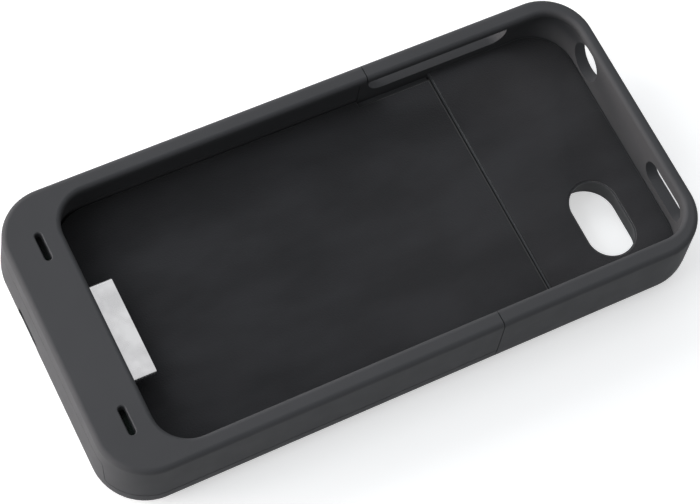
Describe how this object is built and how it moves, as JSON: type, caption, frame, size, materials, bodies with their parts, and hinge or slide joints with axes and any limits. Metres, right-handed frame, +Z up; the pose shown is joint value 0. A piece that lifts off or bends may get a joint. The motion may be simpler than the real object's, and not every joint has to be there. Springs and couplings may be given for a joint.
{
  "type": "battery charging case",
  "caption": "Slim clip-round case that holds a flat handset and charges it from a built-in battery, with a sliding top cap, a dock plug and a small charging inlet.",
  "frame": {"origin": "middle of the flat back, on the surface that the case lies on", "axes": "+Z up out of the bay's mouth, +Y along the case towards the sliding cap, +X across to the right of the mouth"},
  "size_m": [0.063, 0.1292, 0.019],
  "materials": {
    "soft_touch": "soft-touch coated, dark grey",
    "button_plastic": "satin moulded",
    "tray_plastic": "fine moulded texture",
    "lining": "short pile microfibre",
    "battery_foil": "satin foil pouch",
    "foam": "closed-cell foam",
    "board": "solder mask",
    "copper": "bare strip",
    "black_plastic": "moulded",
    "plated_steel": "plated",
    "gold_contact": "plated",
    "ferrite": "sintered",
    "ceramic": "sintered",
    "led_white": "moulded",
    "clear_plastic": "clear moulded",
    "mesh_cloth": "fine acoustic cloth",
    "screw_steel": "plain"
  },
  "bodies": {
    "lower_body": {"front_frame": "soft_touch", "back_shell": "soft_touch", "chassis_tray": "tray_plastic", "bed_liner": "lining", "battery_cell": "battery_foil", "battery_pad": "foam", "protection_strip": "board", "battery_leads": "copper", "power_board": "board", "dock_board": "board", "board_header": "black_plastic", "dock_plug_body": "black_plastic", "dock_plug_shell": "plated_steel", "dock_plug_tongue": "black_plastic", "dock_contacts": "gold_contact", "inlet_shell": "plated_steel", "inlet_tongue": "black_plastic", "control_chips": "black_plastic", "charge_coil": "ferrite", "capacitors": "ceramic", "status_lights": "led_white", "light_guide": "clear_plastic", "tact_switch": "plated_steel", "sound_mesh": "mesh_cloth", "tray_screws": "screw_steel", "power_board_screws": "screw_steel", "dock_board_screws": "screw_steel"},
    "cap": {"top_cap": "soft_touch", "cap_liner": "lining"},
    "button": {"status_button": "button_plastic"}
  },
  "joints": [
    {"name": "cap_slide", "type": "slide", "parent": "lower_body", "child": "cap", "axis": [0, 1, 0], "range_m": [0, 0.024]},
    {"name": "button_press", "type": "slide", "parent": "lower_body", "child": "button", "axis": [0, 0, 1], "range_m": [0, 0.0004], "stiffness_N_per_m": 600}
  ]
}
